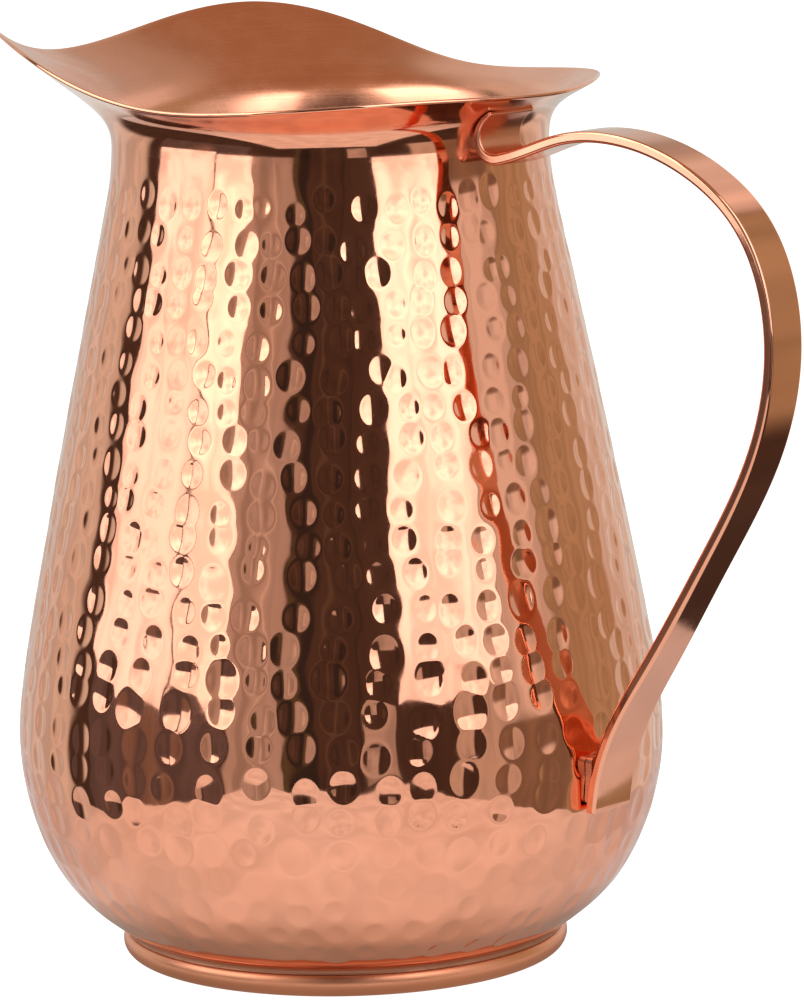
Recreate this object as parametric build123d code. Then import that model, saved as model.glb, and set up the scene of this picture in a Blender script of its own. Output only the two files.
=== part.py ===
from build123d import *

import os
from math import cos, hypot, pi, radians, sin

# Copper water jug, in millimetres.
# +Z is up, the origin is the middle of the face the jug stands on,
# the pouring lip points to -X and the handle to +X.

# ---- driving dimensions ----

BODY_WALL = 1.0
COLLAR_WALL = 0.9

# Hammered body: (radius, height) of its outside, from the foot to the neck.
BODY_OUTLINE = [
    (52.0, 6.6),
    (62.6, 15.0),
    (71.8, 30.0),
    (75.95, 52.5),
    (73.4, 75.0),
    (66.6, 110.0),
    (58.45, 150.0),
    (53.0, 176.0),
    (50.9, 192.0),
]
BELLY_RADIUS = max(radius for radius, height in BODY_OUTLINE)
BODY_START_DIRECTION = (1.45, 1.0)
BODY_END_DIRECTION = (0.0, 1.0)
OFFSET_STEPS = 24
UNIT_SPEED = (1.0, 1.0)  # spline end tangents at the curve's own speed

# Collar: it stands on the body at the neck and flares to a wavy rim.
SEAM_RADIUS, SEAM_HEIGHT = BODY_OUTLINE[-1]
KNEE_HEIGHT = 200.5
KNEE_OUTWARD_SHARE = 0.3
KNEE_UPWARD_SHARE = 0.12
# Rim radius and height every 30 degrees, from the handle round to the lip.
RIM_RADIUS = [64.2, 63.0, 64.4, 62.0, 70.5, 78.7, 81.3]
RIM_HEIGHT = [205.6, 206.1, 204.9, 203.7, 212.0, 217.4, 209.5]
COLLAR_AZIMUTH_STEPS = 36
COLLAR_PROFILE_STEPS = 14
SURFACE_TOLERANCE = 0.005
SURFACE_DEGREE = 3
SLOPE_STEP = 1e-4  # how far apart two points are taken to find the collar's slope

# Floor, and the ring that the jug stands on.
FLOOR_RADIUS = 51.2
FLOOR_BOTTOM = 5.4
FLOOR_TOP = 6.6
FLOOR_DISH = 2.4
FLOOR_DISH_RADIUS = 46.0
FOOT_SOLE_INNER, FOOT_SOLE_OUTER = 47.8, 50.1
FOOT_BULGE_RADIUS, FOOT_BULGE_HEIGHT = 52.7, 3.0
FOOT_TOP_INNER, FOOT_TOP_OUTER = 48.6, 51.8

# Brazed joints.
NECK_BRAZE_HALF_HEIGHT = 1.4
NECK_BRAZE_THICKNESS = 0.5
BASE_BRAZE_LEG = 1.6
FOOT_BRAZE_OUTER = 51.7
FOOT_BRAZE_HOLLOW = 0.2
TOP_BRAZE_HEIGHTS = (192.6, 197.6)
BOTTOM_BRAZE_HEIGHTS = (44.4, 55.4)
HANDLE_BRAZE_INSET = 0.5
HANDLE_BRAZE_CORNER = 1.4
HANDLE_BRAZE_DEPTH = 1.35

# Handle strap: flat bar, a little wider at both ends.
STRAP_THICKNESS = 2.6
STRAP_CORNER = 0.8
STRAP_WIDTH = 11.3
STRAP_END_WIDTH = 14.8
STRAP_TOP_FLARE_SHARE = 0.12
STRAP_BOTTOM_FLARE_START = 0.72
STRAP_LEAN = -6.2  # degrees off the lip's plane at the top; none at the bottom
BEND_SECTIONS = 15
LOOP_SECTIONS = 27
# Middle line of the tab that lies along the collar's flare, from its top down.
TAB_LINE = [(57.9, 201.0), (55.3, 199.4), (53.7, 197.6), (53.05, 195.2)]
TAB_TOP_DIRECTION = (-0.86, -0.5)
TAB_END_DIRECTION = (-0.05, -1.0)
BEND_RADIUS = 3.6
BEND_TURN = 104.0
# Middle line of the strap's loop after the bend: (distance from the axis, height).
STRAP_LOOP = [
    (75.2, 197.0),
    (91.0, 197.7),
    (109.0, 192.3),
    (123.4, 180.8),
    (130.6, 159.5),
    (125.6, 131.8),
    (109.2, 103.2),
    (92.4, 77.4),
    (81.6, 59.6),
]
STRAP_END = (76.95, 42.4)
STRAP_END_DIRECTION = (-0.1, -1.0)


# ---- helpers ----

def revolved(outline):
    """One solid of revolution about Z from closed edges drawn in the XZ plane."""
    return revolve(make_face(outline), Axis.Z)


def section_point(radius, height):
    return Vector(radius, 0, height)


def cosine_series(values):
    """Coefficients of the cosine series through evenly spaced values over half a turn."""
    last = len(values) - 1
    weighted = [value / 2 if i in (0, last) else value for i, value in enumerate(values)]
    series = []
    for order in range(last + 1):
        total = sum(value * cos(order * i * pi / last) for i, value in enumerate(weighted))
        series.append(total * (1 if order in (0, last) else 2) / last)
    return series


def series_value(series, azimuth):
    return sum(factor * cos(order * azimuth) for order, factor in enumerate(series))


def smooth_step(share):
    share = min(max(share, 0.0), 1.0)
    return share * share * (3 - 2 * share)


# ---- vessel ----

def hammered_body():
    """The vessel wall: plain inside and out here, with the same wall all the way up."""
    outside = Spline(
        *[section_point(*point) for point in BODY_OUTLINE],
        tangents=[section_point(*BODY_START_DIRECTION), section_point(*BODY_END_DIRECTION)],
        tangent_scalars=UNIT_SPEED,
    )
    inside_points = []
    for step in range(OFFSET_STEPS + 1):
        share = step / OFFSET_STEPS
        along = outside % share
        inwards = Vector(-along.Z, 0, along.X)
        inside_points.append((outside @ share) + inwards * BODY_WALL)
    first, second = inside_points[0], inside_points[1]
    slope = (second.X - first.X) / (second.Z - first.Z)
    drop = first.Z - BODY_OUTLINE[0][1]
    inside_points.insert(0, Vector(first.X - slope * drop, 0, BODY_OUTLINE[0][1]))
    inside = Spline(*inside_points)
    return revolved([
        outside,
        Line(outside @ 1, inside @ 1),
        inside,
        Line(inside @ 0, outside @ 0),
    ])


RIM_RADIUS_SERIES = cosine_series(RIM_RADIUS)
RIM_HEIGHT_SERIES = cosine_series(RIM_HEIGHT)


def collar_point(azimuth, share):
    """Outside of the collar: a cubic Bezier line from the neck out to the rim."""
    rim_radius = series_value(RIM_RADIUS_SERIES, azimuth)
    rim_height = series_value(RIM_HEIGHT_SERIES, azimuth)
    controls = [
        (SEAM_RADIUS, SEAM_HEIGHT),
        (SEAM_RADIUS, KNEE_HEIGHT),
        (
            SEAM_RADIUS + KNEE_OUTWARD_SHARE * (rim_radius - SEAM_RADIUS),
            KNEE_HEIGHT + KNEE_UPWARD_SHARE * (rim_height - KNEE_HEIGHT),
        ),
        (rim_radius, rim_height),
    ]
    rest = 1 - share
    weights = [rest**3, 3 * rest**2 * share, 3 * rest * share**2, share**3]
    radius = sum(weight * control[0] for weight, control in zip(weights, controls))
    height = sum(weight * control[1] for weight, control in zip(weights, controls))
    return Vector(radius * cos(azimuth), radius * sin(azimuth), height)


def collar_inner_point(azimuth, share):
    """The same point one wall thickness inside, along the surface normal."""
    left = collar_point(azimuth - SLOPE_STEP, share)
    right = collar_point(azimuth + SLOPE_STEP, share)
    around = right - left
    low, high = max(share - SLOPE_STEP, 0.0), min(share + SLOPE_STEP, 1.0)
    upwards = collar_point(azimuth, high) - collar_point(azimuth, low)
    outwards = around.cross(upwards).normalized()
    return collar_point(azimuth, share) - outwards * COLLAR_WALL


def collar_sheet(point_at):
    """Half of one side of the collar, from the handle's plane round to the lip."""
    rows = []
    for row in range(COLLAR_PROFILE_STEPS + 1):
        share = row / COLLAR_PROFILE_STEPS
        rows.append([
            point_at(pi * column / COLLAR_AZIMUTH_STEPS, share)
            for column in range(COLLAR_AZIMUTH_STEPS + 1)
        ])
    return Face.make_surface_from_array_of_points(
        rows, tol=SURFACE_TOLERANCE, min_deg=SURFACE_DEGREE
    )


def edge_nearest(face, point):
    return min(face.edges(), key=lambda edge: edge.distance_to(Vertex(*point)))


def collar_with_spout():
    """The smooth flared collar: two mirrored halves, sewn into one closed solid."""
    outside = collar_sheet(collar_point)
    inside = collar_sheet(collar_inner_point)
    half = [outside, inside]
    for share in (0.0, 1.0):
        outer_edge = edge_nearest(outside, collar_point(pi / 2, share))
        inner_edge = edge_nearest(inside, collar_inner_point(pi / 2, share))
        half.append(Face.make_surface_from_curves(outer_edge, inner_edge))
    other_half = [face.mirror(Plane.XZ) for face in half]
    return Solid(Shell(half + other_half))


def neck_braze():
    """The ring of brazing metal inside the neck, over the seam of body and collar."""
    wall = SEAM_RADIUS - BODY_WALL
    bottom = section_point(wall, SEAM_HEIGHT - NECK_BRAZE_HALF_HEIGHT)
    middle = section_point(wall - NECK_BRAZE_THICKNESS, SEAM_HEIGHT)
    top = section_point(wall, SEAM_HEIGHT + NECK_BRAZE_HALF_HEIGHT)
    return revolved([ThreePointArc(bottom, middle, top), Line(top, bottom)])


# ---- floor and foot ----

def floor_line(height):
    """The dished floor's line from the axis out to its edge, at one of its two faces."""
    centre = section_point(0, height + FLOOR_DISH)
    shoulder = section_point(FLOOR_DISH_RADIUS, height)
    level = Vector(1, 0, 0)
    dish = Spline(centre, shoulder, tangents=[level, level], tangent_scalars=UNIT_SPEED)
    return [dish, Line(shoulder, section_point(FLOOR_RADIUS, height))]


def base_pan():
    """The copper floor, dished upwards in the middle."""
    bottom = floor_line(FLOOR_BOTTOM)
    top = floor_line(FLOOR_TOP)
    return revolved(
        bottom
        + top
        + [Line(bottom[1] @ 1, top[1] @ 1), Line(bottom[0] @ 0, top[0] @ 0)]
    )


def base_braze(wall):
    """The fillet of brazing metal in the corner of floor and wall, inside."""
    body_foot = wall.faces().filter_by(GeomType.PLANE).sort_by(Axis.Z)[0]
    corner_radius = min(edge.radius for edge in body_foot.edges().filter_by(GeomType.CIRCLE))
    corner = section_point(corner_radius, FLOOR_TOP)
    on_floor = corner - Vector(BASE_BRAZE_LEG, 0, 0)
    on_wall = section_point(corner_radius + BASE_BRAZE_LEG, FLOOR_TOP + BASE_BRAZE_LEG)
    ring = revolved([Line(corner, on_floor), Line(on_floor, on_wall), Line(on_wall, corner)])
    return (ring - wall).solid()


def foot_ring():
    """The rolled ring under the floor, with a bulged outside."""
    sole = Line(section_point(FOOT_SOLE_INNER, 0), section_point(FOOT_SOLE_OUTER, 0))
    top = Line(
        section_point(FOOT_TOP_OUTER, FLOOR_BOTTOM),
        section_point(FOOT_TOP_INNER, FLOOR_BOTTOM),
    )
    bulge = section_point(FOOT_BULGE_RADIUS, FOOT_BULGE_HEIGHT)
    outside = ThreePointArc(sole @ 1, bulge, top @ 0)
    return revolved([sole, outside, top, Line(top @ 1, sole @ 0)])


def foot_braze():
    """The line of brazing metal in the groove between the body and the foot ring."""
    low = section_point(FLOOR_RADIUS, FLOOR_BOTTOM)
    high = section_point(FLOOR_RADIUS, FLOOR_TOP)
    low_out = section_point(FOOT_BRAZE_OUTER, FLOOR_BOTTOM)
    high_out = section_point(FOOT_BRAZE_OUTER, FLOOR_TOP)
    hollow = section_point(FOOT_BRAZE_OUTER - FOOT_BRAZE_HOLLOW, (FLOOR_BOTTOM + FLOOR_TOP) / 2)
    return revolved([
        Line(low, low_out),
        ThreePointArc(low_out, hollow, high_out),
        Line(high_out, high),
        Line(high, low),
    ])


# ---- handle ----

def strap_middle_line():
    """The strap's middle line, flattened into the XZ plane: tab, bend and loop."""
    tab = Spline(
        *[section_point(*point) for point in TAB_LINE],
        tangents=[section_point(*TAB_TOP_DIRECTION), section_point(*TAB_END_DIRECTION)],
        tangent_scalars=UNIT_SPEED,
    )
    start = tab @ 1
    heading = tab % 1
    across = Vector(-heading.Z, 0, heading.X)
    centre = start + across * BEND_RADIUS
    half_turn, full_turn = radians(BEND_TURN / 2), radians(BEND_TURN)
    bend_points = [
        centre - across * (BEND_RADIUS * cos(turn)) + heading * (BEND_RADIUS * sin(turn))
        for turn in (half_turn, full_turn)
    ]
    bend = ThreePointArc(start, bend_points[0], bend_points[1])
    loop = Spline(
        bend @ 1,
        *[section_point(*point) for point in STRAP_LOOP],
        section_point(*STRAP_END),
        tangents=[bend % 1, section_point(*STRAP_END_DIRECTION)],
        tangent_scalars=UNIT_SPEED,
    )
    return Wire([tab, bend, loop])


def strap_width(share):
    top_flare = smooth_step(1 - share / STRAP_TOP_FLARE_SHARE)
    bottom_flare = smooth_step(
        (share - STRAP_BOTTOM_FLARE_START) / (1 - STRAP_BOTTOM_FLARE_START)
    )
    return STRAP_WIDTH + (STRAP_END_WIDTH - STRAP_WIDTH) * max(top_flare, bottom_flare)


def strap_section(middle_line, share):
    """One rounded cross-section of the strap, at a share of its length."""
    flat_point = middle_line @ share
    flat_heading = middle_line % share
    lean = STRAP_LEAN * (1 - share)
    across = Vector(0, 1, 0).rotate(Axis.Z, lean)
    plane = Plane(
        origin=flat_point.rotate(Axis.Z, lean),
        x_dir=across,
        z_dir=flat_heading.rotate(Axis.Z, lean),
    )
    outline = RectangleRounded(strap_width(share), STRAP_THICKNESS, STRAP_CORNER)
    return plane * outline


def handle_strap():
    """The bent flat strap: a tab on the collar, a tight bend, a loop down to the belly."""
    middle_line = strap_middle_line()
    tab_length = hypot(TAB_LINE[0][0] - TAB_LINE[-1][0], TAB_LINE[0][1] - TAB_LINE[-1][1])
    bend_share = (tab_length + BEND_RADIUS * radians(BEND_TURN)) / middle_line.length
    shares = [bend_share * step / BEND_SECTIONS for step in range(BEND_SECTIONS)]
    shares += [
        bend_share + (1 - bend_share) * step / LOOP_SECTIONS
        for step in range(LOOP_SECTIONS + 1)
    ]
    return loft([strap_section(middle_line, share) for share in shares])


def handle_braze(heights, near_radius, lean, strap, walls):
    """A pad of brazing metal that fills the space between the strap and the vessel."""
    low, high = heights
    pad = Box(
        2 * HANDLE_BRAZE_DEPTH,
        STRAP_END_WIDTH - 2 * HANDLE_BRAZE_INSET,
        high - low,
    )
    pad = fillet(pad.edges().filter_by(Axis.X), HANDLE_BRAZE_CORNER)
    pad = Pos(near_radius, 0, (low + high) / 2) * pad
    pad = pad.rotate(Axis.Z, lean)
    for part in [strap] + walls:
        pad = pad - part
    return max(pad.solids(), key=lambda solid: solid.volume)


# ---- write one STEP file per piece ----

body = hammered_body()
collar = collar_with_spout()
strap = handle_strap()

pieces = {
    "hammered_body": body,
    "collar_with_spout": collar,
    "neck_braze": neck_braze(),
    "base_pan": base_pan(),
    "base_braze": base_braze(body),
    "foot_ring": foot_ring(),
    "foot_braze": foot_braze(),
    "handle_strap": strap,
    "handle_top_braze": handle_braze(
        TOP_BRAZE_HEIGHTS, SEAM_RADIUS, STRAP_LEAN, strap, [body, collar]
    ),
    "handle_bottom_braze": handle_braze(
        BOTTOM_BRAZE_HEIGHTS, BELLY_RADIUS, 0.0, strap, [body]
    ),
}

os.makedirs("parts", exist_ok=True)
for name, piece in pieces.items():
    export_step(piece, os.path.join("parts", name + ".step"))
    print(name, round(piece.volume, 1))
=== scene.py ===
"""The looks of a hammered copper water jug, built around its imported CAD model.

Lengths in this file are in millimetres and are turned into metres by MM as meshes are made.
+Z is up, the jug stands on z = 0, its lip points to -X and its handle to +X.
"""

from math import atan2, cos, pi, radians, sin

import bpy
import numpy as np
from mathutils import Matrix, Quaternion, Vector

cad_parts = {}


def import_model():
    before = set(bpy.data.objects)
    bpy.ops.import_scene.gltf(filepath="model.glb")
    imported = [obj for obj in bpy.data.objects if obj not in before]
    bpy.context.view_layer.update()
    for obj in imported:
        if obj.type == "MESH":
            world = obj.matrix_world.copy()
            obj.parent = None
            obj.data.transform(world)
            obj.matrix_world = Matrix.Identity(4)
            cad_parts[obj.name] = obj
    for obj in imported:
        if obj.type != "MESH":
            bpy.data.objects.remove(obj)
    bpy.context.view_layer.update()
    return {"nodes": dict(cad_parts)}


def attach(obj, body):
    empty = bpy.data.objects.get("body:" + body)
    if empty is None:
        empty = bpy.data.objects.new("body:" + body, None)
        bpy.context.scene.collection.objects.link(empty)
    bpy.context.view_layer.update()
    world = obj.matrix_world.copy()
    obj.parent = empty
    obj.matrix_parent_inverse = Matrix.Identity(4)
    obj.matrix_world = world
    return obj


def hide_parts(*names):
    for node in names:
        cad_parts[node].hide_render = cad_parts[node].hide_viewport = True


MM = 0.001
SEED = 7
SHARP_ANGLE = radians(38)
CURVE_DENSITY = 40  # points worked out on a curve for each one kept

# ---- the jug's sizes, as in its CAD model ----

BODY_WALL = 1.0
BODY_OUTLINE = [
    (52.0, 6.6),
    (62.6, 15.0),
    (71.8, 30.0),
    (75.95, 52.5),
    (73.4, 75.0),
    (66.6, 110.0),
    (58.45, 150.0),
    (53.0, 176.0),
    (50.9, 192.0),
]
BODY_START_DIRECTION = (1.45, 1.0)
BODY_END_DIRECTION = (0.0, 1.0)
SEAM_RADIUS, SEAM_HEIGHT = BODY_OUTLINE[-1]
BELLY_RADIUS = max(radius for radius, height in BODY_OUTLINE)

COLLAR_WALL = 0.9
KNEE_HEIGHT = 200.5
KNEE_OUTWARD_SHARE = 0.3
KNEE_UPWARD_SHARE = 0.12
# Rim radius and height every 30 degrees, from the handle round to the lip.
RIM_RADIUS = [64.2, 63.0, 64.4, 62.0, 70.5, 78.7, 81.3]
RIM_HEIGHT = [205.6, 206.1, 204.9, 203.7, 212.0, 217.4, 209.5]

FOOT_SOLE_INNER, FOOT_SOLE_OUTER = 47.8, 50.1
FOOT_BULGE_RADIUS, FOOT_BULGE_HEIGHT = 52.7, 3.0
FOOT_TOP_INNER, FOOT_TOP_OUTER = 48.6, 51.8
FOOT_TOP = 5.4
FOOT_EDGE = 0.35

STRAP_THICKNESS = 2.6
STRAP_CORNER = 0.7
STRAP_WIDTH = 11.3
STRAP_END_WIDTH = 14.8
STRAP_TOP_FLARE_SHARE = 0.12
STRAP_BOTTOM_FLARE_START = 0.72
STRAP_LEAN = radians(-6.2)
STRAP_TAB = [(57.9, 201.0), (55.3, 199.4), (53.7, 197.6), (53.05, 195.2)]
STRAP_TAB_TOP_DIRECTION = (-0.86, -0.5)
STRAP_TAB_END_DIRECTION = (-0.05, -1.0)
STRAP_BEND_RADIUS = 3.6
STRAP_BEND_TURN = radians(104)
STRAP_LOOP = [
    (75.2, 197.0),
    (91.0, 197.7),
    (109.0, 192.3),
    (123.4, 180.8),
    (130.6, 159.5),
    (125.6, 131.8),
    (109.2, 103.2),
    (92.4, 77.4),
    (81.6, 59.6),
    (76.95, 42.4),
]
STRAP_END_DIRECTION = (-0.1, -1.0)
TAB_SHARE = 0.06  # of the strap's length, thinned and curved on the collar
TAB_THINNING = 0.6  # of the strap's thickness, gone at the very end

# ---- mesh density ----

BODY_COLUMNS = 960
BODY_ROWS = 400
BODY_INNER_ROWS = 70
COLLAR_COLUMNS = 720
COLLAR_ROWS = 40
RIM_ROWS = 7
FOOT_COLUMNS = 480
FOOT_ARC_POINTS = 40
FOOT_ARC_KEPT = slice(2, -1)  # without the points that the softened edges replace
STRAP_ROWS = 420
STRAP_LOOP_DENSITY = 8  # points worked out on the loop for each row kept
STRAP_END_ROWS = 3  # rows at each end that the softened end replaces
STRAP_CORNER_STEPS = 5
STRAP_SUPPORT = 0.12
STRAP_END_EDGE = 0.45
STRAP_END_STEPS = 4

# ---- hammer marks ----

MARK_COLUMNS = 48
MARK_ROW_PITCH = (7.3, 7.9)  # at the neck and at the belly
MARK_HALF_WIDTH = (2.55, 3.2)
MARK_TALLNESS = 1.2
MARK_TALLNESS_SPREAD = 0.06
MARK_SLOPE = (0.125, 0.225)  # tilt of the surface at a mark's edge, in radians
MARK_WANDER = 0.85  # spread of a mark's place about its row and column
MARK_SIZE_SPREAD = 0.11
MARK_MARGIN_LOW = 9.5
MARK_MARGIN_HIGH = 5.5
MARK_EDGE_SOFTNESS = 0.032
MARK_PULL = 0.07  # how far a mark draws in the metal around it
MARK_PULL_REACH = 1.55
MARK_REACH = 2.6  # in half heights: a mark changes nothing farther away
COURSE_SHIFT, COURSE_SHIFT_TURN = 0.5, 1.7  # rise and fall of whole rows
COLUMN_DRIFT, COLUMN_DRIFT_TURN = 0.18, 0.9  # sideways drift, as a share of the columns' spacing
WAVE_COUNT = 14
WAVE_HEIGHT = 0.011
WAVE_LENGTHS = (9.0, 30.0)
WAVE_TURN_SHARES = (0.3, 1.0)

# ---- camera ----

CAMERA_PLACE = (827.2, -1058.7, 335.3)
CAMERA_AIM = (12.1, 9.2, 106.8)
CAMERA_ROLL = radians(-1.0)
CAMERA_LENS = 139.2
CAMERA_SENSOR_HEIGHT = 24.0

# ---- colours and light ----

COPPER = (0.93, 0.42, 0.265)
COPPER_SHADE = (0.90, 0.385, 0.235)
BRAZE = (0.86, 0.40, 0.26)
BRAZE_SHADE = (0.74, 0.32, 0.20)
HEAT_RED = (0.80, 0.32, 0.19)  # beside the strap's upper joint
HEAT_PLACE = (54.0, -6.0, 196.5)
HEAT_REACH = 15.0
BODY_HEAT_REACH = 9.0
HEAT_FULL_SHARE = 1 / 3  # of the reach, reddened at full strength
HEAT_STRENGTH = 0.7
HEAT_ROUGHNESS = 0.26
CLOUD_SCALE = 28.0  # clouds of colour in a metre
SMEAR_SCALE = 120.0  # smears of gloss in a metre
SMEAR_SHARE = 0.6  # of the gloss pattern, the rest being polishing marks
FOOT_COPPER = (0.96, 0.41, 0.235)
FOOT_COPPER_SHADE = (0.92, 0.38, 0.21)
# The foot's braze, darkened as painted shade in the groove between the foot ring and the body.
JOINT_PAINTED_SHADE = (0.60, 0.28, 0.17)
JOINT_PAINTED_SHADE_DEEP = (0.50, 0.22, 0.13)
BRAZE_NODES = ("neck_braze", "base_braze", "handle_top_braze", "handle_bottom_braze")
# The stretch of a noise's values that is drawn out to a whole pattern.
WIDE_SPAN = (0.3, 0.7)
NARROW_SPAN = (0.35, 0.65)

BACKDROP_WHITE = (1.0, 1.0, 1.0)
FLOOR_REACH = 3000.0
FLOOR_DIFFUSE = (0.6, 0.6, 0.6)
FLOOR_GLOW = 1.0

# The table top, from the jug's axis: to the picture's left and right, back, and to the camera.
TABLE_LEFT, TABLE_RIGHT, TABLE_BACK, TABLE_FRONT = 180.0, 158.0, 355.0, 355.0
TABLE_DEPTH = -0.5
# Painted light on the table's glow: brighter towards the camera, dimmer behind the jug.
TABLE_LIGHT_BACK, TABLE_LIGHT_FRONT = 0.62, 0.88
TABLE_LIGHT_TURN = (-40.0, 110.0)
# Painted shade: the table's glow darkens close to the jug's foot.
TABLE_SHADE = 0.42
TABLE_SHADE_REACH = (49.0, 82.0)
TABLE_CLOUDS = (26.0, 0.9, 1.12)  # scale, darkest and brightest share
TABLE_COLOUR = (1.0, 0.99, 0.86)
# Warm colour in that painted shade: a painted reflection of the copper foot on the table.
TABLE_SHADE_AND_BOUNCE_COLOUR = (1.0, 0.78, 0.58)

# Light boxes around the jug: azimuth in degrees from the camera's direction round to the
# picture's right, lower and upper height, tone low down and high up.
LIGHT_BOXES = (
    # from, to, low, high, low tone, high tone
    (-94.0, -58.5, 88.0, 900.0, (1.27, 1.32, 1.38), (3.1, 3.1, 3.1)),
    (-57.5, -38.5, 105.0, 900.0, (1.6, 1.65, 1.68), (3.3, 3.3, 3.2)),
    (20.5, 57.0, 118.0, 900.0, (1.52, 1.56, 1.62), (3.0, 3.0, 3.0)),
    (9.0, 18.5, 8.0, 116.0, (0.40, 0.38, 0.36), (0.40, 0.38, 0.36)),
)
LIGHT_BOX_DISTANCE = 400.0
LIGHT_BOX_RISE = (120.0, 680.0)
LIGHT_BOX_STEP = 2.0
LIGHT_BOX_CLOUDS = (15.0, 0.85, 1.36)  # scale, darkest and brightest share

# The room behind the lights, in degrees: round to the picture's right, and up.
# Later panels lie over earlier ones.
STUDIO_DARK = (0.068, 0.05, 0.04)
STUDIO_PANELS = (
    # from, to, low, high, edge, tone
    (-400, 400, 46, 400, 8, (0.40, 0.33, 0.26)),
    (-400, -111, -26, 56, 3, (0.66, 0.70, 0.67)),
    (121, 400, -26, 26, 2, (0.68, 0.71, 0.67)),
    (124, 400, 24, 60, 4, (0.50, 0.47, 0.41)),
    (124, 158, 20, 48, 5, (0.86, 0.85, 0.83)),
    (-400, 400, 64, 400, 8, (0.36, 0.23, 0.135)),
    (-101, -44, -30, 12, 1, (0.125, 0.11, 0.115)),
    (-78, -66, -24, 12, 4, (0.24, 0.19, 0.16)),
    (-42, -19, -14, 60, 0.8, (0.44, 0.42, 0.40)),
    (-37, -32, -14, 60, 1.5, (0.37, 0.34, 0.31)),
    (-29.5, -28.5, -14, 60, 0.5, (0.62, 0.60, 0.56)),
    (-18.0, -15.8, -30, 12, 0.8, (0.10, 0.09, 0.045)),
    (-15.8, -10.0, -30, 40, 1.5, (0.032, 0.028, 0.026)),
    (-4.0, -2.0, -30, 60, 1.0, (0.105, 0.08, 0.06)),
    (6.0, 8.0, -30, 60, 1.0, (0.05, 0.038, 0.032)),
    (44, 62, -30, 9, 1, (0.52, 0.50, 0.46)),
    (62, 90, -30, 2, 2, (0.24, 0.19, 0.14)),
    (62, 90, 2, 50, 2, (0.70, 0.70, 0.68)),
    (90, 124, -28, 4, 3, (0.36, 0.31, 0.20)),
    (90, 123, -8, 50, 2, (0.42, 0.37, 0.25)),
)
ROOM_CLOUDS = (0.86, 1.14)
ROOM_CLOUD_SCALE = (7.0, 7.0, 1.6)


# ---- curves ----

def smooth_line(points, start_direction, end_direction, count):
    """Evenly spaced points on the smooth curve through the given ones, with its headings."""
    knots = np.array(points, float)
    last = len(knots) - 1
    place = np.concatenate([[0.0], np.cumsum(np.linalg.norm(np.diff(knots, axis=0), axis=1))])
    gaps = np.diff(place)
    matrix = np.zeros((last + 1, last + 1))
    wanted = np.zeros((last + 1, 2))
    matrix[0, 0] = matrix[last, last] = 1.0
    wanted[0] = np.array(start_direction) / np.linalg.norm(start_direction)
    wanted[last] = np.array(end_direction) / np.linalg.norm(end_direction)
    for i in range(1, last):
        before, after = gaps[i - 1], gaps[i]
        matrix[i, i - 1] = 1 / before
        matrix[i, i] = 2 / before + 2 / after
        matrix[i, i + 1] = 1 / after
        rise_before = (knots[i] - knots[i - 1]) / before**2
        rise_after = (knots[i + 1] - knots[i]) / after**2
        wanted[i] = 3 * (rise_before + rise_after)
    slopes = np.linalg.solve(matrix, wanted)

    dense = np.linspace(0, place[-1], CURVE_DENSITY * count)
    span = np.clip(np.searchsorted(place, dense, side="right") - 1, 0, last - 1)
    gap = gaps[span][:, None]
    share = (dense - place[span])[:, None] / gap
    curve = (2 * share**3 - 3 * share**2 + 1) * knots[span]
    curve += (share**3 - 2 * share**2 + share) * gap * slopes[span]
    curve += (3 * share**2 - 2 * share**3) * knots[span + 1]
    curve += (share**3 - share**2) * gap * slopes[span + 1]
    return evenly_spaced(curve, count)


def evenly_spaced(curve, count):
    """Resamples a dense line to count points, and gives their unit headings and the length."""
    steps = np.linalg.norm(np.diff(curve, axis=0), axis=1)
    travelled = np.concatenate([[0.0], np.cumsum(steps)])
    wanted = np.linspace(0, travelled[-1], count)
    points = np.stack([np.interp(wanted, travelled, curve[:, k]) for k in (0, 1)], axis=1)
    headings = np.gradient(points, axis=0)
    headings /= np.linalg.norm(headings, axis=1)[:, None]
    return points, headings, travelled[-1]


def cosine_series(values):
    """Coefficients of the cosine series through evenly spaced values over half a turn."""
    last = len(values) - 1
    weighted = [value / 2 if i in (0, last) else value for i, value in enumerate(values)]
    series = []
    for order in range(last + 1):
        total = sum(value * cos(order * i * pi / last) for i, value in enumerate(weighted))
        series.append(total * (1 if order in (0, last) else 2) / last)
    return series


def series_value(series, azimuth):
    return sum(factor * np.cos(order * azimuth) for order, factor in enumerate(series))


def smooth_step(share):
    share = np.clip(share, 0.0, 1.0)
    return share * share * (3 - 2 * share)


# ---- meshes ----

def mesh_object(name, points, faces, face_materials, materials):
    """A new smooth-shaded mesh object from points in millimetres."""
    mesh = bpy.data.meshes.new(name)
    mesh.from_pydata(points * MM, [], faces)
    for material in materials:
        mesh.materials.append(material)
    mesh.polygons.foreach_set("material_index", face_materials)
    mesh.polygons.foreach_set("use_smooth", [True] * len(mesh.polygons))
    mesh.set_sharp_from_angle(angle=SHARP_ANGLE)
    mesh.update()
    piece = bpy.data.objects.new(name, mesh)
    bpy.context.scene.collection.objects.link(piece)
    return piece


def grid_faces(rings, columns, closed):
    """Quads between neighbouring rings. A closed grid also joins its last ring to its first."""
    ring = np.arange(rings if closed else rings - 1)[:, None]
    column = np.arange(columns)[None, :]
    next_ring = (ring + 1) % rings
    next_column = (column + 1) % columns
    corners = [
        ring * columns + column,
        ring * columns + next_column,
        next_ring * columns + next_column,
        next_ring * columns + column,
    ]
    return np.stack([np.broadcast_to(c, corners[0].shape) for c in corners], axis=-1).reshape(-1, 4)


def around_axis(radius, height, columns):
    """Rings of points about Z, from a radius and a height for each ring."""
    azimuth = np.linspace(0, 2 * pi, columns, endpoint=False)
    radius = np.asarray(radius, float)
    height = np.broadcast_to(np.asarray(height, float)[:, None], (len(radius), columns))
    return np.stack(
        [radius[:, None] * np.cos(azimuth), radius[:, None] * np.sin(azimuth), height],
        axis=-1,
    )


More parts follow.
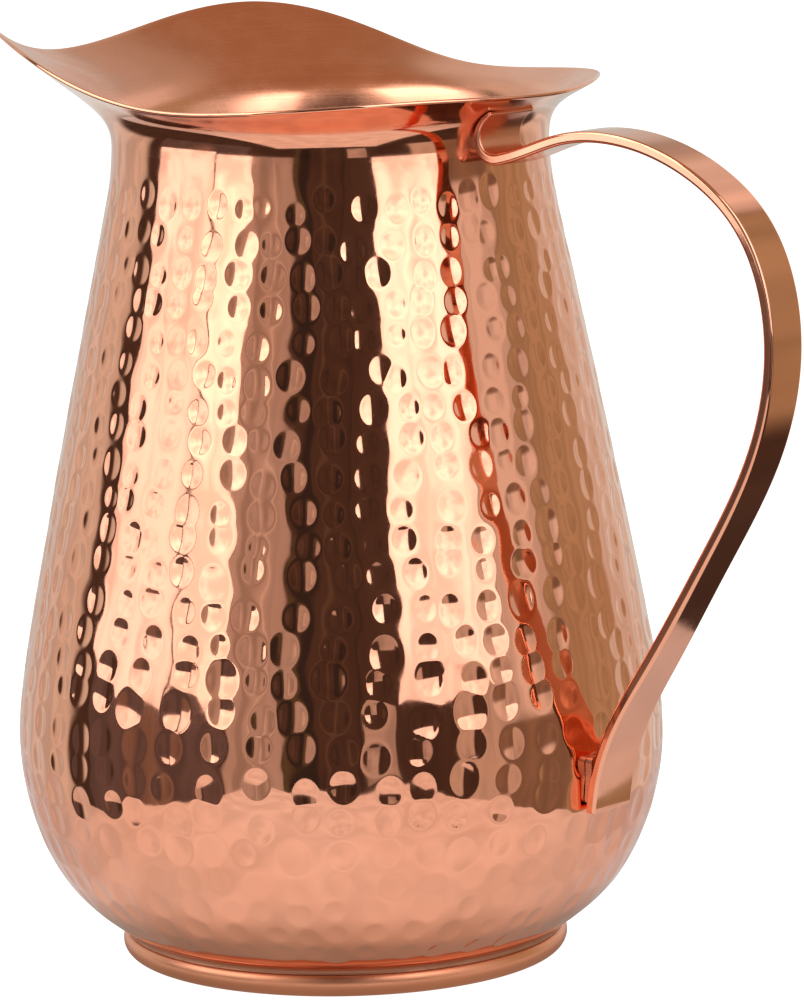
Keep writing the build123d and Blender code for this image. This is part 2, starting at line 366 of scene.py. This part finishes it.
def shell_object(name, rings, inner_from, materials):
    """A closed shell from rings that run up its outside and back down its inside."""
    count, columns = rings.shape[:2]
    faces = grid_faces(count, columns, closed=True)
    ring_material = np.where(np.arange(count) >= inner_from, 1, 0)
    face_materials = np.repeat(ring_material, columns)
    return mesh_object(name, rings.reshape(-1, 3), faces.tolist(), face_materials, materials)


# ---- hammered body ----

def hammer_marks(outline, length, dice):
    """(place along the outline, azimuth, half width, half height, edge slope) of each mark."""
    marks = []
    place = MARK_MARGIN_LOW
    row = 0
    while place < length - MARK_MARGIN_HIGH:
        radius = np.interp(place, np.linspace(0, length, len(outline)), outline[:, 0])
        belly_share = (radius - SEAM_RADIUS) / (BELLY_RADIUS - SEAM_RADIUS)
        half_width = np.interp(belly_share, (0, 1), MARK_HALF_WIDTH)
        course_shift = COURSE_SHIFT * sin(COURSE_SHIFT_TURN * row)
        for column in range(MARK_COLUMNS):
            drift = COLUMN_DRIFT * sin(COLUMN_DRIFT_TURN * row + column)
            azimuth = 2 * pi * (column + drift) / MARK_COLUMNS
            size = half_width * (1 + MARK_SIZE_SPREAD * dice.standard_normal())
            marks.append((
                place + course_shift + MARK_WANDER * dice.standard_normal(),
                azimuth + MARK_WANDER * dice.standard_normal() / radius,
                size,
                size * MARK_TALLNESS * (1 + MARK_TALLNESS_SPREAD * dice.standard_normal()),
                dice.uniform(*MARK_SLOPE),
            ))
        place += np.interp(belly_share, (0, 1), MARK_ROW_PITCH)
        row += 1
    return marks


def metal_waves(along, azimuth, dice):
    """Slow unevenness of the hammered sheet."""
    waves = np.zeros((len(along), len(azimuth)))
    for _ in range(WAVE_COUNT):
        wave_length = dice.uniform(*WAVE_LENGTHS)
        turns = round(2 * pi * BELLY_RADIUS / wave_length * dice.uniform(*WAVE_TURN_SHARES))
        rise = 2 * pi / wave_length * dice.uniform(-1.0, 1.0)
        phase = dice.uniform(0, 2 * pi)
        waves += np.sin(turns * azimuth[None, :] + rise * along[:, None] + phase)
    return WAVE_HEIGHT * waves


def hammered_depth(outline, length, columns):
    """How far the hammered surface lies inside the plain outline, for each row and column."""
    dice = np.random.default_rng(SEED)
    along = np.linspace(0, length, len(outline))
    azimuth = np.linspace(0, 2 * pi, columns, endpoint=False)
    hollow = np.zeros((len(along), columns))
    pull = np.zeros_like(hollow)
    for place, mark_azimuth, half_width, half_height, slope in hammer_marks(outline, length, dice):
        reach = MARK_REACH * half_height
        rows = np.nonzero(np.abs(along - place) < reach)[0]
        radius = outline[rows[len(rows) // 2], 0]
        turn = (azimuth - mark_azimuth + pi) % (2 * pi) - pi
        near = np.nonzero(np.abs(turn) * radius < reach)[0]
        across = turn[near][None, :] * outline[rows, 0][:, None] / half_width
        up = (along[rows] - place)[:, None] / half_height
        distance_squared = across**2 + up**2
        depth = slope * half_width / 2
        bowl = depth * (1 - distance_squared)
        bowl = (bowl + np.sqrt(bowl**2 + MARK_EDGE_SOFTNESS**2)) / 2
        window = np.ix_(rows, near)
        hollow[window] = np.maximum(hollow[window], bowl)
        pull[window] = np.maximum(
            pull[window], MARK_PULL * np.exp(-distance_squared / MARK_PULL_REACH**2)
        )
    fade = smooth_step((length - along) / MARK_MARGIN_HIGH) * smooth_step(along / MARK_MARGIN_LOW)
    return hollow + (pull + metal_waves(along, azimuth, dice)) * fade[:, None]


def hammered_body(materials):
    """The vessel wall with its hammer marks, which show softly on the inside too."""
    outline, headings, length = smooth_line(
        BODY_OUTLINE, BODY_START_DIRECTION, BODY_END_DIRECTION, BODY_ROWS
    )
    outwards = np.stack([headings[:, 1], -headings[:, 0]], axis=1)
    depth = hammered_depth(outline, length, BODY_COLUMNS)
    azimuth = np.linspace(0, 2 * pi, BODY_COLUMNS, endpoint=False)

    def wall(rows, offset):
        radius = outline[rows, 0][:, None] - outwards[rows, 0][:, None] * offset
        height = outline[rows, 1][:, None] - outwards[rows, 1][:, None] * offset
        return np.stack([radius * np.cos(azimuth), radius * np.sin(azimuth), height], axis=-1)

    outer_rows = np.arange(BODY_ROWS)
    inner_rows = np.linspace(BODY_ROWS - 1, 0, BODY_INNER_ROWS).round().astype(int)
    outside = wall(outer_rows, depth)
    inside = wall(inner_rows, depth[inner_rows] + BODY_WALL)
    rings = np.concatenate([outside, inside])
    return shell_object("hammered_wall", rings, BODY_ROWS, materials)


# ---- collar ----

def collar_outside():
    """Rings of the collar's outside, from the neck to just short of the rim's round edge."""
    azimuth = np.linspace(0, 2 * pi, COLLAR_COLUMNS, endpoint=False)
    rim_radius = series_value(cosine_series(RIM_RADIUS), azimuth)
    rim_height = series_value(cosine_series(RIM_HEIGHT), azimuth)
    slant = np.hypot(rim_radius - SEAM_RADIUS, rim_height - SEAM_HEIGHT)
    last_share = 1 - COLLAR_WALL / 2 / slant
    share = np.linspace(0, 1, COLLAR_ROWS)[:, None] * last_share[None, :]
    rest = 1 - share
    weights = (rest**3, 3 * rest**2 * share, 3 * rest * share**2, share**3)
    knee_out = SEAM_RADIUS + KNEE_OUTWARD_SHARE * (rim_radius - SEAM_RADIUS)
    knee_up = KNEE_HEIGHT + KNEE_UPWARD_SHARE * (rim_height - KNEE_HEIGHT)
    radii = (SEAM_RADIUS, SEAM_RADIUS, knee_out, rim_radius)
    heights = (SEAM_HEIGHT, KNEE_HEIGHT, knee_up, rim_height)
    radius = sum(weight * value for weight, value in zip(weights, radii))
    height = sum(weight * value for weight, value in zip(weights, heights))
    return np.stack([radius * np.cos(azimuth), radius * np.sin(azimuth), height], axis=-1)


def collar_with_lip(materials):
    """The smooth flared collar with its pulled lip and a rounded rim."""
    outside = collar_outside()
    upwards = np.gradient(outside, axis=0)
    wrapped = np.concatenate([outside[:, -1:], outside, outside[:, :1]], axis=1)
    around = wrapped[:, 2:] - wrapped[:, :-2]
    outwards = np.cross(around, upwards)
    outwards /= np.linalg.norm(outwards, axis=-1, keepdims=True)
    inside = outside - outwards * COLLAR_WALL

    rim_out = outwards[-1]
    rim_up = upwards[-1] / np.linalg.norm(upwards[-1], axis=-1, keepdims=True)
    rim_middle = (outside[-1] + inside[-1]) / 2
    turn = np.linspace(0, pi, RIM_ROWS + 2)[1:-1, None, None]
    rim = rim_middle + COLLAR_WALL / 2 * (np.cos(turn) * rim_out + np.sin(turn) * rim_up)
    rings = np.concatenate([outside, rim, inside[::-1]])
    return shell_object("flared_collar", rings, COLLAR_ROWS + RIM_ROWS, materials)


# ---- foot ----

def arc_through(start, middle, end, count):
    """Points on the circular arc through three (radius, height) points."""
    (ax, ay), (bx, by), (cx, cy) = start, middle, end
    scale = 2 * (ax * (by - cy) + bx * (cy - ay) + cx * (ay - by))
    a, b, c = ax**2 + ay**2, bx**2 + by**2, cx**2 + cy**2
    centre_x = (a * (by - cy) + b * (cy - ay) + c * (ay - by)) / scale
    centre_y = (a * (cx - bx) + b * (ax - cx) + c * (bx - ax)) / scale
    first = atan2(ay - centre_y, ax - centre_x)
    last = atan2(cy - centre_y, cx - centre_x)
    size = np.hypot(ax - centre_x, ay - centre_y)
    turn = np.linspace(first, last, count)
    return np.stack([centre_x + size * np.cos(turn), centre_y + size * np.sin(turn)], axis=1)


def rolled_foot(materials):
    """The ring under the floor, with a bulged outside and softened edges."""
    outside = arc_through(
        (FOOT_SOLE_OUTER, 0.0),
        (FOOT_BULGE_RADIUS, FOOT_BULGE_HEIGHT),
        (FOOT_TOP_OUTER, FOOT_TOP),
        FOOT_ARC_POINTS,
    )
    sole = [(FOOT_SOLE_INNER + FOOT_EDGE, 0.0), (FOOT_SOLE_OUTER - FOOT_EDGE, 0.0)]
    top = [(FOOT_TOP_OUTER - FOOT_EDGE, FOOT_TOP), (FOOT_TOP_INNER + FOOT_EDGE, FOOT_TOP)]
    back = [(FOOT_TOP_INNER, FOOT_TOP - FOOT_EDGE), (FOOT_SOLE_INNER, FOOT_EDGE)]
    profile = np.concatenate([sole, outside[FOOT_ARC_KEPT], top, back])
    rings = around_axis(profile[:, 0], profile[:, 1], FOOT_COLUMNS)
    return shell_object("rolled_foot", rings, len(rings), materials)


# ---- handle ----

def strap_middle_line():
    """Evenly spaced points of the strap's middle line, flattened into its own plane."""
    tab, _, _ = smooth_line(
        STRAP_TAB, STRAP_TAB_TOP_DIRECTION, STRAP_TAB_END_DIRECTION, STRAP_ROWS
    )
    heading = np.array(STRAP_TAB_END_DIRECTION) / np.linalg.norm(STRAP_TAB_END_DIRECTION)
    across = np.array([-heading[1], heading[0]])
    centre = tab[-1] + across * STRAP_BEND_RADIUS
    turn = np.linspace(0, STRAP_BEND_TURN, STRAP_ROWS)[:, None]
    bend = centre + STRAP_BEND_RADIUS * (heading * np.sin(turn) - across * np.cos(turn))
    bend_heading = heading * cos(STRAP_BEND_TURN) + across * sin(STRAP_BEND_TURN)
    loop, _, _ = smooth_line(
        [bend[-1]] + STRAP_LOOP, bend_heading, STRAP_END_DIRECTION, STRAP_LOOP_DENSITY * STRAP_ROWS
    )
    return evenly_spaced(np.concatenate([tab[:-1], bend, loop[1:]]), STRAP_ROWS)


def strap_section(width, thickness, corner):
    """A rounded rectangle, counter-clockwise, with a support point beside each corner's ends."""
    points = []
    for quarter, (side, face) in enumerate(((1, 1), (-1, 1), (-1, -1), (1, -1))):
        middle = np.array([side * (width / 2 - corner), face * (thickness / 2 - corner)])
        turn = np.linspace(0, pi / 2, STRAP_CORNER_STEPS + 1) + quarter * pi / 2
        arc = middle + corner * np.stack([np.cos(turn), np.sin(turn)], axis=1)
        before = arc[0] + STRAP_SUPPORT * np.array([sin(turn[0]), -cos(turn[0])])
        after = arc[-1] + STRAP_SUPPORT * np.array([-sin(turn[-1]), cos(turn[-1])])
        points += [before[None], arc, after[None]]
    return np.concatenate(points)


def strap_width(share):
    top_flare = smooth_step(1 - share / STRAP_TOP_FLARE_SHARE)
    bottom_flare = smooth_step(
        (share - STRAP_BOTTOM_FLARE_START) / (1 - STRAP_BOTTOM_FLARE_START)
    )
    return STRAP_WIDTH + (STRAP_END_WIDTH - STRAP_WIDTH) * np.maximum(top_flare, bottom_flare)


def strap_ring(point, heading, share, shrink, step):
    """One ring of the strap: a section at a share of its length, drawn in and moved along.

    On the collar the strap is beaten thinner and follows the collar's curve.
    """
    lean = STRAP_LEAN * (1 - share)
    across = np.array([-sin(lean), cos(lean), 0.0])
    radial = np.array([cos(lean), sin(lean), 0.0])
    forward = heading[0] * radial + np.array([0.0, 0.0, heading[1]])
    face = np.cross(forward, across)
    middle = point[0] * radial + np.array([0.0, 0.0, point[1]]) + forward * step
    width = float(strap_width(share))
    section = strap_section(width - 2 * shrink, STRAP_THICKNESS - 2 * shrink, STRAP_CORNER - shrink)
    sideways, outwards = section[:, :1], section[:, 1:]
    thinning = TAB_THINNING * smooth_step(1 - share / TAB_SHARE)
    outwards = outwards - thinning * (outwards + STRAP_THICKNESS / 2)
    outwards = outwards - smooth_step(1 - share / TAB_SHARE) * sideways**2 / (2 * SEAM_RADIUS)
    return middle + sideways * across + outwards * face


def handle_strap(materials):
    """The bent flat strap with rounded edges and softened ends."""
    points, headings, _ = strap_middle_line()
    turns = np.linspace(0, pi / 2, STRAP_END_STEPS + 1)
    end_shrinks = STRAP_END_EDGE * (1 - np.cos(turns))
    end_steps = STRAP_END_EDGE * (np.sin(turns) - 1)
    rings = [
        strap_ring(points[0], headings[0], 0.0, shrink, -step)
        for shrink, step in zip(end_shrinks[::-1], end_steps[::-1])
    ]
    shares = np.linspace(0, 1, STRAP_ROWS)
    rings += [
        strap_ring(points[row], headings[row], shares[row], 0.0, 0.0)
        for row in range(STRAP_END_ROWS, STRAP_ROWS - STRAP_END_ROWS)
    ]
    rings += [
        strap_ring(points[-1], headings[-1], 1.0, shrink, step)
        for shrink, step in zip(end_shrinks, end_steps)
    ]
    rings = np.array(rings)
    count, columns = rings.shape[:2]
    faces = grid_faces(count, columns, closed=False).tolist()
    faces.append(list(range(columns))[::-1])
    faces.append(list(range((count - 1) * columns, count * columns)))
    face_materials = np.zeros(len(faces), int)
    return mesh_object("bent_strap", rings.reshape(-1, 3), faces, face_materials, materials)


# ---- materials ----

def add_node(tree, kind, **settings):
    node = tree.nodes.new(kind)
    for name, value in settings.items():
        setattr(node, name, value)
    return node


def math_node(tree, operation, *inputs):
    """A Math node fed with sockets or numbers; gives its result."""
    node = add_node(tree, "ShaderNodeMath", operation=operation)
    for socket, value in zip(node.inputs, inputs):
        if isinstance(value, bpy.types.NodeSocket):
            tree.links.new(value, socket)
        else:
            socket.default_value = value
    return node.outputs[0]


def stretch(tree, value, from_range, to_range):
    """Maps a value from one range to another, with soft ends."""
    node = add_node(tree, "ShaderNodeMapRange", interpolation_type="SMOOTHSTEP")
    tree.links.new(value, node.inputs["Value"])
    for name, number in zip(("From Min", "From Max"), from_range):
        node.inputs[name].default_value = number
    for name, number in zip(("To Min", "To Max"), to_range):
        node.inputs[name].default_value = number
    return node.outputs["Result"]


def mix_colours(tree, share, first, second):
    """Blends two colours, each a socket or an RGB tuple, by a share."""
    node = add_node(tree, "ShaderNodeMix", data_type="RGBA")
    for name, value in (("Factor_Float", share), ("A_Color", first), ("B_Color", second)):
        socket = next(s for s in node.inputs if s.identifier == name)
        if isinstance(value, bpy.types.NodeSocket):
            tree.links.new(value, socket)
        elif isinstance(value, tuple):
            socket.default_value = (*value, 1.0)
        else:
            socket.default_value = value
    return next(s for s in node.outputs if s.identifier == "Result_Color")


def scale_colour(tree, colour, factor):
    node = add_node(tree, "ShaderNodeVectorMath", operation="SCALE")
    tree.links.new(colour, node.inputs[0])
    tree.links.new(factor, node.inputs["Scale"])
    return node.outputs["Vector"]


def noise(tree, place, scale, detail=2.0):
    node = add_node(tree, "ShaderNodeTexNoise")
    node.inputs["Scale"].default_value = scale
    node.inputs["Detail"].default_value = detail
    tree.links.new(place, node.inputs["Vector"])
    return node.outputs["Fac"]


def cloudy_share(tree, place, clouds):
    """A slowly varying share, from its scale and its smallest and largest value."""
    scale, smallest, largest = clouds
    return stretch(tree, noise(tree, place, scale), WIDE_SPAN, (smallest, largest))


def object_place(tree):
    return add_node(tree, "ShaderNodeTexCoord").outputs["Object"]


def turned_place(tree, place):
    """(distance from the axis, height, 0): what is the same all the way round a turned piece."""
    parts = add_node(tree, "ShaderNodeSeparateXYZ")
    tree.links.new(place, parts.inputs[0])
    squares = math_node(
        tree,
        "ADD",
        math_node(tree, "POWER", parts.outputs["X"], 2.0),
        math_node(tree, "POWER", parts.outputs["Y"], 2.0),
    )
    joined = add_node(tree, "ShaderNodeCombineXYZ")
    tree.links.new(math_node(tree, "SQRT", squares), joined.inputs["X"])
    tree.links.new(parts.outputs["Z"], joined.inputs["Y"])
    return joined.outputs[0]


def vector_measure(tree, operation, vector, other):
    """The number that a Vector Math node gives for a vector and a fixed one."""
    node = add_node(tree, "ShaderNodeVectorMath", operation=operation)
    tree.links.new(vector, node.inputs[0])
    node.inputs[1].default_value = other
    return node.outputs["Value"]


def raise_surface(tree, shader, pattern, height):
    """Raises the surface by a pattern, to a height in millimetres."""
    bump = add_node(tree, "ShaderNodeBump")
    bump.inputs["Strength"].default_value = 1.0
    bump.inputs["Distance"].default_value = height * MM
    tree.links.new(pattern, bump.inputs["Height"])
    tree.links.new(bump.outputs["Normal"], shader.inputs["Normal"])


def copper(name, colour, shade, roughness, bump_height, bump_scale, turned=False, heat=None):
    """Copper with cloudy colour and gloss and fine polishing marks.

    bump_height is in millimetres, and bump_scale is the number of marks in a metre.
    heat, if given, is the reddening beside a brazed joint: (point, clear distance, colour).
    """
    material = bpy.data.materials.new(name)
    material.use_nodes = True
    tree = material.node_tree
    shader = tree.nodes["Principled BSDF"]
    shader.inputs["Metallic"].default_value = 1.0
    place = object_place(tree)
    clouds = noise(tree, place, CLOUD_SCALE)
    tint = mix_colours(tree, stretch(tree, clouds, WIDE_SPAN, (0.0, 1.0)), colour, shade)
    if heat:
        point, reach, heat_colour = heat
        distance = vector_measure(tree, "DISTANCE", place, point)
        warmth = stretch(tree, distance, (HEAT_FULL_SHARE * reach, reach), (1.0, 0.0))
        redness = math_node(tree, "MULTIPLY", warmth, HEAT_STRENGTH)
        tint = mix_colours(tree, redness, tint, heat_colour)
    tree.links.new(tint, shader.inputs["Base Color"])

    marks_place = turned_place(tree, place) if turned else place
    marks = noise(tree, marks_place, bump_scale, detail=4.0)
    smears = noise(tree, place, SMEAR_SCALE, detail=3.0)
    smears = math_node(tree, "MULTIPLY", smears, SMEAR_SHARE)
    both = math_node(tree, "MULTIPLY_ADD", marks, 1 - SMEAR_SHARE, smears)
    roughness = stretch(tree, both, NARROW_SPAN, roughness)
    if heat:
        roughness = math_node(tree, "MULTIPLY_ADD", warmth, HEAT_ROUGHNESS, roughness)
    tree.links.new(roughness, shader.inputs["Roughness"])
    raise_surface(tree, shader, marks, bump_height)
    return material


def heated(reach):
    """The reddening beside the strap's upper joint, in metres, for a reach in millimetres."""
    return [MM * value for value in HEAT_PLACE], reach * MM, HEAT_RED


def body_copper():
    """The hammered wall's polished outside."""
    return copper(
        "polished_copper", COPPER, COPPER_SHADE, roughness=(0.035, 0.075),
        bump_height=0.0004, bump_scale=900, heat=heated(BODY_HEAT_REACH),
    )


def collar_copper():
    """The collar's outside, polished on the lathe."""
    return copper(
        "collar_copper", COPPER, COPPER_SHADE, roughness=(0.05, 0.11),
        bump_height=0.0005, bump_scale=1500, turned=True, heat=heated(HEAT_REACH),
    )


def satin_copper():
    """The inside of the jug, brushed round and left satin."""
    return copper(
        "satin_copper", COPPER, COPPER_SHADE, roughness=(0.21, 0.31),
        bump_height=0.004, bump_scale=1600, turned=True,
    )


def strap_copper():
    """The handle strap, polished by hand."""
    return copper(
        "strap_copper", COPPER, COPPER_SHADE, roughness=(0.06, 0.12),
        bump_height=0.0008, bump_scale=1100, heat=heated(HEAT_REACH),
    )


def foot_copper():
    """The foot ring, redder and duller than the body."""
    return copper(
        "foot_copper", FOOT_COPPER, FOOT_COPPER_SHADE, roughness=(0.3, 0.4),
        bump_height=0.002, bump_scale=1400, turned=True,
    )


def painted_shade_joint():
    """The braze joint between the foot ring and the body, darkened as painted shade in the groove
    there.
    """
    return copper(
        "painted_shade_joint", JOINT_PAINTED_SHADE, JOINT_PAINTED_SHADE_DEEP, roughness=(0.4, 0.55),
        bump_height=0.004, bump_scale=900,
    )


def braze_metal():
    """The brazing metal of the other joints."""
    return copper(
        "braze", BRAZE, BRAZE_SHADE, roughness=(0.3, 0.5), bump_height=0.01, bump_scale=700,
    )


# ---- studio ----

def camera():
    data = bpy.data.cameras.new("camera")
    data.sensor_fit = "VERTICAL"
    data.sensor_height = CAMERA_SENSOR_HEIGHT
    data.lens = CAMERA_LENS
    seat = bpy.data.objects.new("camera", data)
    place, aim = Vector(CAMERA_PLACE) * MM, Vector(CAMERA_AIM) * MM
    look = (aim - place).to_track_quat("-Z", "Y")
    seat.rotation_mode = "QUATERNION"
    seat.location = place
    seat.rotation_quaternion = look @ Quaternion((0, 0, 1), CAMERA_ROLL)
    bpy.context.scene.collection.objects.link(seat)
    bpy.context.scene.camera = seat


def studio_axes():
    """Level unit vectors from the jug towards the camera and to the picture's right."""
    towards = Vector((CAMERA_PLACE[0] - CAMERA_AIM[0], CAMERA_PLACE[1] - CAMERA_AIM[1], 0)).normalized()
    return towards, Vector((-towards.y, towards.x, 0))


def soft_window(tree, value, low, high, edge):
    """1 between low and high, and 0 outside them, with soft edges."""
    rise = stretch(tree, value, (low - edge, low + edge), (0.0, 1.0))
    fall = stretch(tree, value, (high - edge, high + edge), (1.0, 0.0))
    return math_node(tree, "MULTIPLY", rise, fall)


def studio_angles(tree, direction):
    """A direction's angles round to the picture's right and up, in degrees."""
    towards, right = studio_axes()
    rightwards = vector_measure(tree, "DOT_PRODUCT", direction, right)
    forwards = vector_measure(tree, "DOT_PRODUCT", direction, towards)
    sideways = math_node(tree, "ARCTAN2", rightwards, forwards)
    upwards = math_node(tree, "ARCSINE", vector_measure(tree, "DOT_PRODUCT", direction, (0, 0, 1)))
    return math_node(tree, "DEGREES", sideways), math_node(tree, "DEGREES", upwards)


def studio_world():
    """Light panels and dark gaps around the jug. The camera itself sees plain white."""
    world = bpy.data.worlds.new("studio")
    bpy.context.scene.world = world
    world.use_nodes = True
    tree = world.node_tree
    direction = add_node(tree, "ShaderNodeTexCoord").outputs["Generated"]
    sideways, upwards = studio_angles(tree, direction)
    colour = STUDIO_DARK
    for left, far, low, high, edge, tone in STUDIO_PANELS:
        across = soft_window(tree, sideways, left, far, edge)
        up = soft_window(tree, upwards, low, high, edge)
        colour = mix_colours(tree, math_node(tree, "MULTIPLY", across, up), colour, tone)
    stretched = add_node(tree, "ShaderNodeMapping")
    tree.links.new(direction, stretched.inputs["Vector"])
    stretched.inputs["Scale"].default_value = ROOM_CLOUD_SCALE
    cloud = noise(tree, stretched.outputs[0], 1.0, detail=3.0)
    colour = scale_colour(tree, colour, stretch(tree, cloud, NARROW_SPAN, ROOM_CLOUDS))
    seen = add_node(tree, "ShaderNodeLightPath").outputs["Is Camera Ray"]
    colour = mix_colours(tree, seen, colour, BACKDROP_WHITE)
    tree.links.new(colour, tree.nodes["Background"].inputs["Color"])


def stage_mesh(name, points, faces, material):
    """A piece of the studio, from points in millimetres."""
    mesh = bpy.data.meshes.new(name)
    mesh.from_pydata([Vector(point) * MM for point in points], [], faces)
    mesh.materials.append(material)
    piece = bpy.data.objects.new(name, mesh)
    bpy.context.scene.collection.objects.link(piece)
    return piece


def studio_point(sideways, forwards, height):
    """A point from its distances to the picture's right and to the camera, and its height."""
    towards, right = studio_axes()
    return right * sideways + towards * forwards + Vector((0, 0, height))


def studio_sheet(name, left, right, back, front, height, material):
    corners = [(left, back), (right, back), (right, front), (left, front)]
    points = [studio_point(x, y, height) for x, y in corners]
    return stage_mesh(name, points, [(0, 1, 2, 3)], material)


def glowing(name):
    """A material that only gives light; gives its node tree and Emission node too."""
    material = bpy.data.materials.new(name)
    material.use_nodes = True
    tree = material.node_tree
    tree.nodes.remove(tree.nodes["Principled BSDF"])
    glow = add_node(tree, "ShaderNodeEmission")
    tree.links.new(glow.outputs[0], tree.nodes["Material Output"].inputs["Surface"])
    return material, tree, glow


def light_box(index, start, end, low, high, low_tone, high_tone):
    """An upright curved sheet of light, which the camera doesn't see."""
    steps = round((end - start) / LIGHT_BOX_STEP)
    distance = LIGHT_BOX_DISTANCE
    points = []
    for step in range(steps + 1):
        turn = radians(start + (end - start) * step / steps)
        for height in (low, high):
            points.append(studio_point(distance * sin(turn), distance * cos(turn), height))
    faces = [(2 * k, 2 * k + 2, 2 * k + 3, 2 * k + 1) for k in range(steps)]
    name = f"light_box_{index}"
    material, tree, glow = glowing(name)
    place = object_place(tree)
    parts = add_node(tree, "ShaderNodeSeparateXYZ")
    tree.links.new(place, parts.inputs[0])
    rise = stretch(tree, parts.outputs["Z"], [MM * height for height in LIGHT_BOX_RISE], (0.0, 1.0))
    clouds = cloudy_share(tree, place, LIGHT_BOX_CLOUDS)
    tone = scale_colour(tree, mix_colours(tree, rise, low_tone, high_tone), clouds)
    tree.links.new(tone, glow.inputs["Color"])
    box = stage_mesh(name, points, faces, material)
    box.visible_camera = False
    box.visible_shadow = False


def table_light():
    """The table's glow, with painted light brighter towards the camera, and painted shade, warmed by a
    painted copper reflection, close to the jug's foot.
    """
    material, tree, glow = glowing("table_light")
    place = object_place(tree)
    towards = studio_axes()[0]
    # Painted light: the glow grows brighter towards the camera.
    forwards = vector_measure(tree, "DOT_PRODUCT", place, towards)
    turn = [MM * value for value in TABLE_LIGHT_TURN]
    tone = stretch(tree, forwards, turn, (TABLE_LIGHT_BACK, TABLE_LIGHT_FRONT))
    from_axis = vector_measure(tree, "DISTANCE", place, (0, 0, 0))
    reach = [MM * value for value in TABLE_SHADE_REACH]
    # Painted shade close to the foot, tinted by a painted reflection of the copper.
    shade = stretch(tree, from_axis, reach, (TABLE_SHADE, 1.0))
    clouds = cloudy_share(tree, place, TABLE_CLOUDS)
    tone = math_node(tree, "MULTIPLY", math_node(tree, "MULTIPLY", tone, shade), clouds)
    tint = mix_colours(tree, clouds, TABLE_COLOUR, BACKDROP_WHITE)
    tree.links.new(mix_colours(tree, shade, TABLE_SHADE_AND_BOUNCE_COLOUR, tint), glow.inputs["Color"])
    tree.links.new(tone, glow.inputs["Strength"])
    return material


def floor_white():
    """A pale matt floor that also glows, so that it stays white in the picture."""
    material = bpy.data.materials.new("floor_white")
    material.use_nodes = True
    shader = material.node_tree.nodes["Principled BSDF"]
    shader.inputs["Base Color"].default_value = (*FLOOR_DIFFUSE, 1.0)
    shader.inputs["Roughness"].default_value = 1.0
    shader.inputs["Specular IOR Level"].default_value = 0.0
    shader.inputs["Emission Color"].default_value = (*BACKDROP_WHITE, 1.0)
    shader.inputs["Emission Strength"].default_value = FLOOR_GLOW
    return material


def studio():
    """The floor that the camera sees, and the table top and light boxes that the copper mirrors."""
    reach = FLOOR_REACH
    floor = studio_sheet("pale_floor", -reach, reach, -reach, reach, 0.0, floor_white())
    floor.visible_glossy = False
    table = studio_sheet(
        "table_top", -TABLE_LEFT, TABLE_RIGHT, -TABLE_BACK, TABLE_FRONT, TABLE_DEPTH, table_light()
    )
    table.visible_camera = False
    table.visible_diffuse = False
    table.visible_shadow = False
    for index, box in enumerate(LIGHT_BOXES):
        light_box(index, *box)


# ---- the jug ----

def place_piece(piece, slot, *nodes):
    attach(piece, "root")
    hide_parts(*nodes)


def paint(node, material):
    node.data.materials.clear()
    node.data.materials.append(material)


def build_jug(frame):
    """Makes the pieces that stand for CAD nodes, and paints the CAD nodes that stay."""
    satin = satin_copper()
    foot = foot_copper()
    place_piece(hammered_body([body_copper(), satin]), "hammered_copper", "hammered_body")
    place_piece(collar_with_lip([collar_copper(), satin]), "polished_copper", "collar_with_spout")
    place_piece(rolled_foot([foot, foot]), "foot_copper", "foot_ring")
    place_piece(handle_strap([strap_copper()]), "strap_copper", "handle_strap")
    paint(frame["nodes"]["base_pan"], satin)
    # The foot's braze gets the painted shade of the groove under the body.
    paint(frame["nodes"]["foot_braze"], painted_shade_joint())
    braze = braze_metal()
    for name in BRAZE_NODES:
        paint(frame["nodes"][name], braze)


def main():
    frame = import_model()
    camera()
    studio_world()
    studio()
    bpy.context.scene.view_settings.view_transform = "Standard"
    build_jug(frame)


main()
